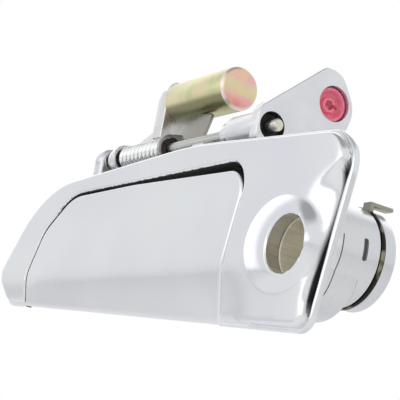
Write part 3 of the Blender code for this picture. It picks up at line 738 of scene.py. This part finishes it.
def bezel_front():
    """The visible shell: flange, groove and domed face, flat on the seat behind."""
    bm = bmesh.new()
    share = 0.5 + 0.5 * beside_lock(*np.array(BEZEL_RING).T)

    def ring(inset, depth):
        """Verts round the outline; away from the lock they move in by only half of the inset."""
        flat = [rim.lerp(inner, s) for rim, inner, s in zip(BEZEL_RING, rounded(BEZEL, -inset), share)]
        return [bm.verts.new((p.x, y, p.y)) for p, y in zip(flat, depth(np.array(flat)))]

    def level(y):
        return lambda points: np.full(len(points), y)

    def groove(points):
        """Open beside the lock, and closing up along the top and bottom."""
        depth = 1.5 * beside_lock(points[:, 0], points[:, 1])
        shallow = np.clip(face_height(points) + 2.6, FLANGE_Y - 0.9, FLANGE_Y + 0.1)
        return np.where(depth > 0.05, FLANGE_Y + depth, shallow)

    def foot(points):
        return np.clip(face_height(points) + 2.6, -3.3, groove(points) - 0.03)

    def face(drop):
        def depth(points):
            return np.minimum(face_height(points) + drop, np.maximum(groove(points) - 0.05, -3.0))
        return depth

    flange = [(0.7, 0.0), (0.2, -0.2), (0.0, -0.7), (0.0, FLANGE_Y + 0.7), (0.2, FLANGE_Y + 0.2),
              (0.7, FLANGE_Y), (1.4, FLANGE_Y), (1.7, FLANGE_Y + 0.1)]
    roll = [(2.7, 1.9), (2.9, 1.2), (3.2, 0.75), (3.7, 0.33), (4.4, 0.1), (5.4, 0.0)]
    rows = [ring(inset, level(y)) for inset, y in flange]
    rows += [ring(1.9, groove), ring(2.6, groove), ring(2.65, foot)]
    rows += [ring(inset, face(drop)) for inset, drop in roll]
    for low, high in zip(rows, rows[1:]):
        bridge(bm, low, high)
    bm.faces.new(rows[0])

    features = [p for offset in (0.05, 0.25, 0.5, 0.85, 1.4) for p in rounded(POCKET, offset, 1.2)]
    for radius in (9.6, 9.8, 10.1, 10.5, 11.2, 12.2, 13.6, 15.0):
        features += oval((0, 0), (radius, radius), 90)
    for scale in (0.75, 0.82, 0.88, 0.93, 0.97, 1.0, 1.03, 1.07, 1.13, 1.2):
        features += oval((BOSS_X, BOSS_Z), (BOSS_A * scale, BOSS_B * scale), 110)
    features += [(x, CREASE_Z + dz) for dz in CREASE_ROWS for x in np.arange(-214, -20, 1.6)]
    outside = distance_to(features, POCKET_RING) < 0.0
    features = [p for p, out in zip(features, outside) if out]
    inner_ring = [Vector((v.co.x, v.co.z)) for v in rows[-1]]
    fill_ring(bm, rows[-1], inner_points(inner_ring, 1.7, features), face_height)
    return new_object("bezel_casting", bm)


def make_ear():
    """The lug that holds the pin's left end."""
    foot = [(-0.5, 22, 1), (10, 22, 1), (HINGE_Y + 5.3, HINGE_Z, 0.5), (HINGE_Y - 5.3, HINGE_Z, 0.5),
            (HINGE_Y - 5.3, 33, 1), (-0.5, 30, 1)]
    ear = plate("ear", foot, -170, -163, 1.2)
    return join(ear, lathe("ear_round", "X", (HINGE_Y, HINGE_Z), bar_profile(-170.4, -162.9, 5.7, 2.2)))


def make_bezel():
    """The casting: front shell, pan, lock drum, lug, pin rest and screw bosses, then every opening."""
    bezel = bezel_front()
    floor_y = PAN_BACK_Y + PAN_WALL
    pan = layered("pan", PAN, [(PAN_WALL - 1.2, floor_y), (PAN_WALL - 0.35, floor_y - 0.35),
                               (PAN_WALL, floor_y - 1.2), (PAN_WALL, -0.4)])
    drum = stub("drum", (DRUM_X, DRUM_Z), -1.0, DRUM_Y, DRUM_R, 0.8, 96)
    base = stub("base", (BASE_X, BASE_Z), -1.0, BASE_Y, BASE_R, 1.5, 96)
    rest = box("rest", (-92, -0.5, 30), (-84, 14, HINGE_Z - PIN_R - 0.3), 0.6)
    cut(rest, box("step", (-93, -5, 38), (-83, 6.5, 60)))
    fixings = [stub("fixing", spot, 15.0, 22.0, 6.0, 0.6) for spot in FIXINGS]
    join(bezel, pan, drum, base, make_ear(), rest, *fixings)

    pocket = layered("pocket", POCKET, [(0.0, y) for y in (0.6, -1, -2, -3, -4, -4.6, -5.0, -15.0)])
    hollow = layered("hollow", PAN, [(-0.4, PAN_BACK_Y), (-0.4, -1)])
    mouth = box("mouth", (-150, -15, -40), (-78, 30, -9))
    windows = [box("window", (low - 1.1, 0.4, 1.5), (high + 1.1, 40, 45)) for low, high in ARMS_X]
    cut(bezel, pocket, hollow, mouth, *windows)
    join(bezel, *[lathe("post", "Y", spot, bar_profile(-0.5, 15.5, 2.6)) for spot in BUMPERS])

    lock_bore = drill("Y", (0, 0), -20, 40, BORE_R)
    sleeve_bore = drill("Y", (0, 0), -4, 40, SLEEVE_R)
    groove = ring_tube("clip_groove", "Y", (DRUM_X, DRUM_Z), *GROOVE_Y, DRUM_R + 3, GROOVE_R, 0.15, 96)
    pin_hole = drill("X", (HINGE_Y, HINGE_Z), PIN_X[0] - 0.3, -162, PIN_R + 0.3)
    holes = [drill("Y", spot, 16.2, 40, 2.5) for spot in FIXINGS]
    wall_x = DRUM_X + DRUM_R
    notch = box("notch", (wall_x - 1.6, NOTCH_Y[0], NOTCH_Z[0]), (wall_x + 3, NOTCH_Y[1], NOTCH_Z[1]), 0.7)
    seam = ring_tube("seam", "Y", (BASE_X, BASE_Z), *SEAM_Y, BASE_R + 3, BASE_R - SEAM_DEPTH, 0.05, 96)
    cut(bezel, lock_bore, sleeve_bore, groove, pin_hole, *holes, notch, seam)
    shade_hollows(bezel.data)
    return bezel


def shade_hollows(mesh):
    """Write the attribute of painted shade in the groove round the face, the pan, the seam and the slots;
    behind the seat everything is also made a little darker and duller.
    """
    places = np.array([v.co for v in mesh.vertices])
    x, y, z = places.T
    flat = places[:, [0, 2]]

    def around(value, low, high, margin=0.1):
        return (value > low - margin) & (value < high + margin)

    # Painted shade in the groove between the face and the flange beside the lock.
    inside = distance_to(flat, BEZEL_RING)
    groove = smoothstep(inside, 1.75, 2.0) * (1 - smoothstep(inside, 2.7, 3.1)) * beside_lock(x, z)
    groove *= (y < -0.4) * smoothstep(y, -4.0, -3.4)

    # Painted shade in the pan: it darkens from 3 mm below the face, but along its top edge, where the gap
    # is, at once.
    depth = y - FACE_Y - crease_drop(x, z)
    starts = 3.0 - 2.9 * smoothstep(z, 6.0, 14.0) * smoothstep(x, -186.0, -168.0)
    pan = smoothstep(depth, starts, starts + 0.6) * (y < PAN_BACK_Y + 0.1)
    pan *= (distance_to(flat, POCKET_RING) > -0.05) & (z > -14.0)
    pan *= 0.97 - 0.35 * smoothstep(depth, 8.0, 16.0)

    # Painted shade in the clip groove, in the notch on the drum and along the seam.
    from_drum = np.hypot(x - DRUM_X, z - DRUM_Z)
    clip_groove = around(y, *GROOVE_Y) & (from_drum < DRUM_R - 0.8) & (from_drum > GROOVE_R - 1.5)
    notch = around(y, *NOTCH_Y) & around(z, *NOTCH_Z) & (from_drum < DRUM_R - 0.5) & (x > DRUM_X + 13)
    from_seam = np.hypot(x - BASE_X, z - BASE_Z) - BASE_R + SEAM_DEPTH
    seam = around(y, *SEAM_Y, 0.3) & (np.abs(from_seam) < 0.1)
    behind = y > -0.05

    shade = np.maximum.reduce([groove, pan, 0.12 * behind, 0.95 * clip_groove, 0.8 * notch, 0.7 * seam])
    layer = mesh.attributes.new("shade", "FLOAT", "POINT")
    layer.data.foreach_set("value", shade.astype(np.float32))


# ---- paddle ------------------------------------------------------------------------------------
def paddle_height(points):
    """The paddle's front: slightly crowned, with the same fold as the bezel's face."""
    z = points[:, 1]
    inside = np.clip(distance_to(points, PADDLE_RING), 0.0, None)
    crown = 0.35 * smoothstep(inside, 0.0, 16.0)
    return FACE_Y + 0.25 - crown + CREASE_SLOPE * soft_ramp(CREASE_Z - z, 3.0) + edge_roll(inside, 0.9)


def paddle_back(points):
    return FACE_Y + PADDLE_THICKNESS + CREASE_SLOPE * soft_ramp(CREASE_Z - points[:, 1], 3.0)


def make_paddle():
    """The pull flap with its two hinge arms."""
    bm = bmesh.new()

    def ring(inset, height):
        flat = rounded(PADDLE, -inset)
        return [bm.verts.new((p.x, y, p.y)) for p, y in zip(flat, height(np.array(flat)))]

    rows = [ring(1.8, paddle_back), ring(0.9, lambda p: paddle_back(p) - 0.65),
            *[ring(inset, paddle_height) for inset in (0.02, 0.1, 0.3, 0.6, 1.0, 2.0)]]
    for low, high in zip(rows, rows[1:]):
        bridge(bm, low, high)
    crease = [(x, CREASE_Z + dz) for dz in CREASE_ROWS for x in np.arange(-189, -38, 1.8)]
    fill_ring(bm, rows[-1], inner_points(rounded(PADDLE, -2.0), 2.4, crease), paddle_height)
    fill_ring(bm, rows[0], inner_points(rounded(PADDLE, -1.8), 5.0, crease), paddle_back)
    paddle = new_object("paddle_skin", bm)
    back = FACE_Y + PADDLE_THICKNESS - 1.2
    arm = [(back, 4.5, 1), (22.5, 4.5, 4), (22.5, 36, 6), (15.2, 51.5, 1), (8, 46.5, 1),
           (17.5, 35, 5), (17.5, 10.5, 1.5), (back, 10.5, 1)]
    arms = [plate("arm", arm, *span, 0.45) for span in ARMS_X]
    radii = 5.0, 4.6
    bosses = [lathe("arm_boss", "X", (HINGE_Y, HINGE_Z), bar_profile(*span, radius, 0.4))
              for span, radius in zip(ARMS_X, radii)]
    join(paddle, *arms, *bosses)
    return cut(paddle, drill("X", (HINGE_Y, HINGE_Z), -160, -68, 3.4))


# ---- pieces on the pin -------------------------------------------------------------------------
def make_pin():
    """The hinge pin, slightly blunted at both ends."""
    start, end = PIN_X
    return lathe("hinge_pin_turned", "X", (HINGE_Y, HINGE_Z),
                 [(start, 0.0), (start, PIN_R - 0.4), (start + 0.4, PIN_R), (end - 0.6, PIN_R),
                  (end - 0.5, PIN_R - 0.05), (end - 0.05, PIN_R - 0.5), (end, PIN_R - 0.6), (end, 0.0)])


def make_spring():
    """Torsion spring: coils round the pin and a short leg down from each end."""
    start, end = -151.0, -117.4
    radius, wire_r, turns, steps = 3.9, 1.1, 10, 28     # steps are points in one turn
    count = turns * steps
    points = []
    for k in range(count + 1):
        angle = -2 * pi * k / steps
        x = start + wire_r + (end - start - 2 * wire_r) * k / count
        points.append(Vector((x, HINGE_Y + radius * cos(angle), HINGE_Z + radius * sin(angle))))
    leg = Vector((0.0, 0.0, -7.5))
    points = [points[0] + leg, points[0] + leg * 0.2, *points, points[-1] + leg * 0.2, points[-1] + leg]
    return wire("torsion_coil", points, wire_r)


# ---- counterweight -----------------------------------------------------------------------------
def make_counterweight():
    """Turned bar with bevelled rims, bored at the hidden end for the rivet."""
    start, end = WEIGHT_X
    r = WEIGHT_R
    profile = [(start + 8, 0.0), (start + 8, 3.3), (start + 0.2, 3.3), (start, 3.5), (start, r - 1.1),
               (start + 0.15, r - 0.8), (start + 0.8, r - 0.15), (start + 1.1, r), (end - 1.3, r),
               (end - 0.95, r - 0.12), (end - 0.15, r - 0.9), (end, r - 1.2), (end, 1.6), (end - 0.12, 0.0)]
    return lathe("counterweight_bar", "X", (WEIGHT_Y, WEIGHT_Z), profile, 96)


def lean(obj, angle, y, z):
    """Tip a shape back about the line through y, z that runs along x."""
    pivot = Matrix.Translation((0, y, z))
    obj.data.transform(pivot @ Matrix.Rotation(angle, 4, "X") @ pivot.inverted())
    return obj


def make_bracket():
    """Pressed sheet: ears on the pin, a web behind it, and a folded post that holds the weight."""
    left, right, sheet = -153.6, -115.3, 1.6
    web_y = 15.2
    post_x = WEIGHT_X[0] - 0.3
    web_outline = [(left, 52, 1), (-98.5, 52, 1), (-98.5, 64.4, 1.5), (-124, 67.5, 4), (-133, 67.0, 6),
                   (-149, 58.8, 5), (left, 56.4, 1.5)]
    web = plate("counterweight_bracket_pressing", web_outline, web_y, web_y + sheet, plane="XZ")
    lean(web, radians(-14), web_y + sheet / 2, 58.2)
    ear_outline = [(HINGE_Y, HINGE_Z - 5.8, 3), (HINGE_Y + 6, HINGE_Z - 4, 3), (web_y + 1.5, 56.5, 0.5),
                   (web_y, 57.0, 0.5), (HINGE_Y - 2, HINGE_Z + 5.6, 2)]
    ears = []
    for low in (left, right - sheet):
        ear = plate("ear", ear_outline, low, low + sheet)
        rim = lathe("ear_round", "X", (HINGE_Y, HINGE_Z), bar_profile(low, low + sheet, 5.9, 0.35))
        ears.append(join(ear, rim))
    post_outline = [(13, 57, 1), (20, 57, 1), (29.5, 68, 4), (29.5, 82.3, 8), (13, 82.3, 5)]
    post = plate("post", post_outline, post_x - sheet, post_x)
    flange_outline = [(post_x - 7, 59, 1), (post_x - 0.2, 59, 0.4), (post_x - 0.2, 78, 0.4),
                      (post_x - 5, 78, 3), (post_x - 7, 74, 3)]
    flange = plate("flange", flange_outline, 13.0, 13.0 + sheet, plane="XZ")
    foot = box("foot", (post_x - 7, 13.0, 57.5), (post_x, 16.4, 61.5), 0.4)
    bracket = join(web, *ears, post, flange, foot)
    coil_room = drill("X", (HINGE_Y, HINGE_Z), left + sheet + 0.1, right - sheet - 0.1, 5.3)
    holes = drill("X", (HINGE_Y, HINGE_Z), left - 1, right + 1, 4.7)
    rivet_hole = drill("X", (WEIGHT_Y, WEIGHT_Z), post_x - 9, post_x + 1, 3.3)
    return cut(bracket, coil_room, holes, rivet_hole)


# ---- release lever -----------------------------------------------------------------------------
def make_lever():
    """Cast arm with a long hub on the pin, the clip's hole and the dog behind the paddle's arm."""
    start, end = HUB_X
    arm_outline = [(4.8, 43, 3), (16, 43, 4), (42.5, 55, 9), (46, 66, 11), (38, 78.5, 8), (30.5, 78.5, 4),
                   (4.8, 55.6, 5)]
    arm = plate("release_lever_casting", arm_outline, end - 4.6, end, 0.45)
    hub = lathe("hub", "X", (HINGE_Y, HINGE_Z), bar_profile(start, end - 0.5, 6.3, 1.3), 96)
    web = box("web", (start, 8.5, 37), (start + 3, 12.2, 46), 0.5)
    dog = box("dog", (-74.0, 8.5, 37), (start + 1, 12.2, 40), 0.5)
    join(arm, hub, web, dog)
    bore = drill("X", (HINGE_Y, HINGE_Z), start - 1, end + 2, 5.3)
    clip_hole = drill("X", (CLIP_Y, CLIP_Z), end - 8, end + 1, 6.7)
    return cut(arm, bore, clip_hole)


def make_rod_clip():
    """Plastic cup in the lever's hole, with a stepped seat and a keyhole slot for the rod."""
    back = HUB_X[1] - 4.6
    front = HUB_X[1] - 1.5
    centre = (CLIP_Y, CLIP_Z)
    cup = lathe("rod_clip_moulding", "X", centre,
                [(back - 5, 0.0), (back - 5, 6.0), (back - 4.6, 6.4), (back - 2.3, 6.4),
                 (back - 2.3, 8.1), (back - 2.0, 8.4), (back - 0.6, 8.4), (back - 0.3, 8.1),
                 (back - 0.3, 6.4), (front - 0.3, 6.4), (front, 6.1), (front, 5.5), (front - 0.4, 5.2),
                 (back + 0.6, 5.0), (back + 0.2, 4.6), (back + 0.4, 3.3), (back + 1.5, 2.9),
                 (back + 1.7, 2.7), (back + 1.7, 0.0)])
    tail = box("tail", (back - 5, CLIP_Y - 12, CLIP_Z - 3.5), (back - 3, CLIP_Y, CLIP_Z + 1.5), 0.4)
    join(cup, tail)
    rod_hole = drill("X", centre, back - 9, back + 4, 1.9, 40)
    slot = box("slot", (back - 9, CLIP_Y, CLIP_Z - 0.7), (back + 4, CLIP_Y + 12, CLIP_Z + 0.7))
    cut(slot, ring_tube("slot_end", "X", centre, back - 10, back + 5, 30, 4.8, 0.01))
    return cut(cup, rod_hole, slot)


# ---- lock housing pieces -----------------------------------------------------------------------
def make_sleeve():
    """Liner of the lock bore: narrower behind a step, with a keyway along its top."""
    start, end = SLEEVE_Y
    step_y, outer, narrow = 9.0, SLEEVE_R - 0.3, BORE_R - 1.2
    profile = [(start + 0.3, BORE_R), (start, BORE_R + 0.3), (start, outer - 0.3), (start + 0.3, outer),
               (end - 0.3, outer), (end, outer - 0.3), (end, narrow + 0.2), (end - 0.3, narrow),
               (step_y + 0.4, narrow), (step_y, narrow + 0.3), (step_y, BORE_R), (start + 0.3, BORE_R)]
    sleeve = lathe("lock_liner", "Y", (0, 0), profile, 96)
    return cut(sleeve, box("keyway", (-1, -10, 7), (3, 40, BORE_R + 0.5)))


def make_retaining_clip():
    """Horseshoe spring clip in the drum's groove, with a bent tab at its top."""
    low, high = GROOVE_Y[0] + 0.4, GROOVE_Y[1] - 0.4
    centre = (DRUM_X, DRUM_Z)
    clip = ring_tube("lock_spring_clip", "Y", centre, low, high, DRUM_R + 0.4, GROOVE_R + 0.3, 0.25, 96)
    cut(clip, box("opening", (-30, low - 1, -9), (-4, high + 1, 30)))
    foot_z, top_z = DRUM_Z + GROOVE_R, DRUM_Z + DRUM_R + 1.6
    tab = box("tab", (3, low, foot_z), (7, high, top_z), 0.25)
    bar = box("bar", (3, low, top_z - 1.4), (7, high + 8, top_z), 0.4)
    return join(clip, tab, bar)


# ---- assembly ----------------------------------------------------------------------------------
add_piece(make_bezel(), "casting", "chrome", ["bezel"])
add_piece(make_paddle(), "pull_paddle", "chrome", ["paddle"])
add_piece(make_pin(), "casting", "plated_steel", ["hinge_pin"], PIN_STEEL)
add_piece(make_spring(), "casting", "spring_steel", ["torsion_spring"], sharp=60)
add_piece(make_counterweight(), "inertia_weight", "yellow_zinc", ["counterweight"])
add_piece(make_bracket(), "inertia_weight", "plated_steel", ["counterweight_bracket"], BRACKET_STEEL)
add_piece(make_lever(), "crank", "satin_zinc", ["release_lever"])
add_piece(make_rod_clip(), "clip", "red_plastic", ["rod_clip"])
add_piece(make_sleeve(), "casting", "brass_liner", ["lock_sleeve"])
add_piece(make_retaining_clip(), "casting", "spring_steel", ["lock_retaining_clip"], CLIP_STEEL)

SLOTS = {part["node"]: part["material_slot"] for part in frame["record"]["subparts"]}
RINGS = {"pin_retaining_ring": PHOSPHATE, "pin_e_clip": MATERIALS["plated_steel"]}
for node, obj in frame["nodes"].items():
    if not obj.hide_render:
        obj.data.materials.clear()
        obj.data.materials.append(RINGS.get(node, MATERIALS[SLOTS[node]]))


# ---- studio ------------------------------------------------------------------------------------
def make_world():
    """A pale tent with a white softbox in front, another behind on the left, and a dim ceiling."""
    world = bpy.data.worlds.new("tent")
    bpy.context.scene.world = world
    world.use_nodes = True
    nodes = Nodes(world.node_tree)
    direction = nodes.add("ShaderNodeTexCoord").outputs["Generated"]
    east, north, up = nodes.add("ShaderNodeSeparateXYZ", {0: direction}).outputs
    level = nodes.add("ShaderNodeCombineXYZ", {0: east, 1: north, 2: 0.0}).outputs[0]
    level = nodes.add("ShaderNodeVectorMath", {0: level}, operation="NORMALIZE").outputs[0]

    def panel(azimuth, outer, inner, low, high):
        """One in front of a panel at an azimuth, fading out sideways and between two heights."""
        axis = (cos(radians(azimuth)), sin(radians(azimuth)), 0.0)
        facing = nodes.add("ShaderNodeVectorMath", {0: level, 1: axis}, operation="DOT_PRODUCT")
        across = nodes.spread(facing.outputs["Value"], cos(radians(outer)), cos(radians(inner)))
        return nodes.math("MULTIPLY", across, nodes.spread(up, low, high))

    color = nodes.mix(nodes.spread(up, -0.10, 0.14), (0.78, 0.78, 0.80), (0.868, 0.88, 0.90))
    color = nodes.mix(panel(276.0, 60, 32, 0.62, 0.15), color, (1.45, 1.46, 1.48))
    color = nodes.mix(panel(145.0, 53, 42, -0.2, 0.1), color, (1.35, 1.35, 1.38))
    color = nodes.mix(nodes.spread(up, 0.72, 0.92), color, (0.42, 0.42, 0.43))
    seen = nodes.add("ShaderNodeLightPath").outputs["Is Camera Ray"]
    color = nodes.mix(seen, color, (1.0, 1.0, 1.0))
    world.node_tree.links.new(color, world.node_tree.nodes["Background"].inputs["Color"])


def make_floor():
    """A wide pale sheet well below the part, which hangs where the camera can look up at it."""
    bm = bmesh.new()
    half, z = 8.0, -0.17
    corners = [(-half, -half, z), (half, -half, z), (half, half, z), (-half, half, z)]
    bm.faces.new([bm.verts.new(c) for c in corners])
    mesh = bpy.data.meshes.new("floor")
    bm.to_mesh(mesh)
    bm.free()
    floor = bpy.data.objects.new("floor", mesh)
    bpy.context.scene.collection.objects.link(floor)
    material, nodes, shader = new_material("pale_floor", metallic=0.0)
    color = nodes.mix(nodes.noise(120.0), (0.79, 0.79, 0.80), (0.82, 0.82, 0.82))
    connect(nodes, shader, color, nodes.gloss(60.0, 0.6, 0.7))
    mesh.materials.append(material)


def add_light(name, place, target, size, power):
    """Soft lamp that lights the rough surfaces and isn't mirrored in the chrome."""
    light = bpy.data.lights.new(name, "AREA")
    light.shape = "SQUARE"
    light.size = size
    light.energy = power
    lamp = bpy.data.objects.new(name, light)
    bpy.context.scene.collection.objects.link(lamp)
    lamp.location = place
    lamp.visible_glossy = False
    lamp.rotation_euler = (Vector(target) - Vector(place)).to_track_quat("-Z", "Y").to_euler()


def add_camera():
    """Low on the lock's side, looking along and up at the handle, slightly rolled."""
    camera = bpy.data.objects.new("camera", bpy.data.cameras.new("camera"))
    bpy.context.scene.collection.objects.link(camera)
    right, up = Vector((0.538, 0.825, 0.173)), Vector((0.084, -0.256, 0.963))
    forward = Vector((-0.839, 0.504, 0.208)).normalized()
    right = (right - forward * right.dot(forward)).normalized()
    up = right.cross(forward)
    lock_face = Vector((0.0, -0.009, LOCK_Z))
    eye = lock_face + Vector((0.3169, -0.2224, -0.0735))
    camera.matrix_world = Matrix.Translation(eye) @ Matrix((right, up, -forward)).transposed().to_4x4()
    camera.data.sensor_width = 36.0
    camera.data.lens = 116.1
    bpy.context.scene.camera = camera


make_world()
make_floor()
middle = (cad_box[0] + cad_box[1]) / 2
add_light("key", (-0.1, -0.5, 1.1), middle, 0.8, 6.0)
add_camera()
bpy.context.scene.view_settings.view_transform = "Standard"
